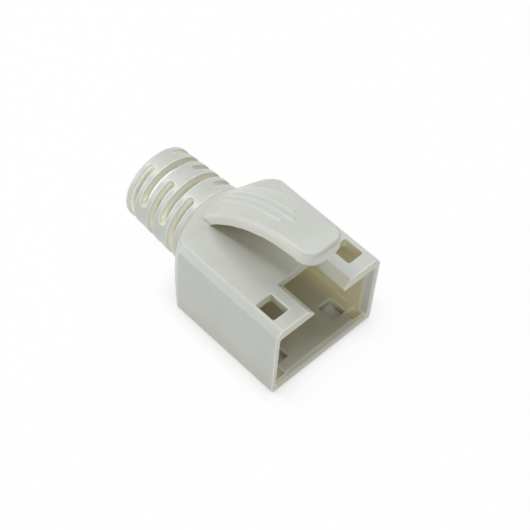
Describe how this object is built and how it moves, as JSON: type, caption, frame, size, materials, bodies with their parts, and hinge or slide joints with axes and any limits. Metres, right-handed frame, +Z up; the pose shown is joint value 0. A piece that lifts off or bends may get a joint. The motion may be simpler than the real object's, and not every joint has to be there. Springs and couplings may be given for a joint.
{
  "type": "rj45 strain relief boot",
  "caption": "Slip-on moulded boot for a modular network plug: open rectangular plug housing, arched latch guard tongue and a round slotted bend relief for the cable.",
  "frame": {"origin": "centre of the bounding box underside: midway between the plug mouth and the cable end, on the flat bottom of the housing", "axes": "+Y from the plug mouth towards the cable end, +Z up from the flat bottom towards the latch guard, +X sideways so that the frame is right-handed"},
  "size_m": [0.0136, 0.0242, 0.0158],
  "materials": {
    "boot": "satin moulded, light warm grey"
  },
  "bodies": {
    "root": {"boot": "boot"}
  },
  "joints": []
}
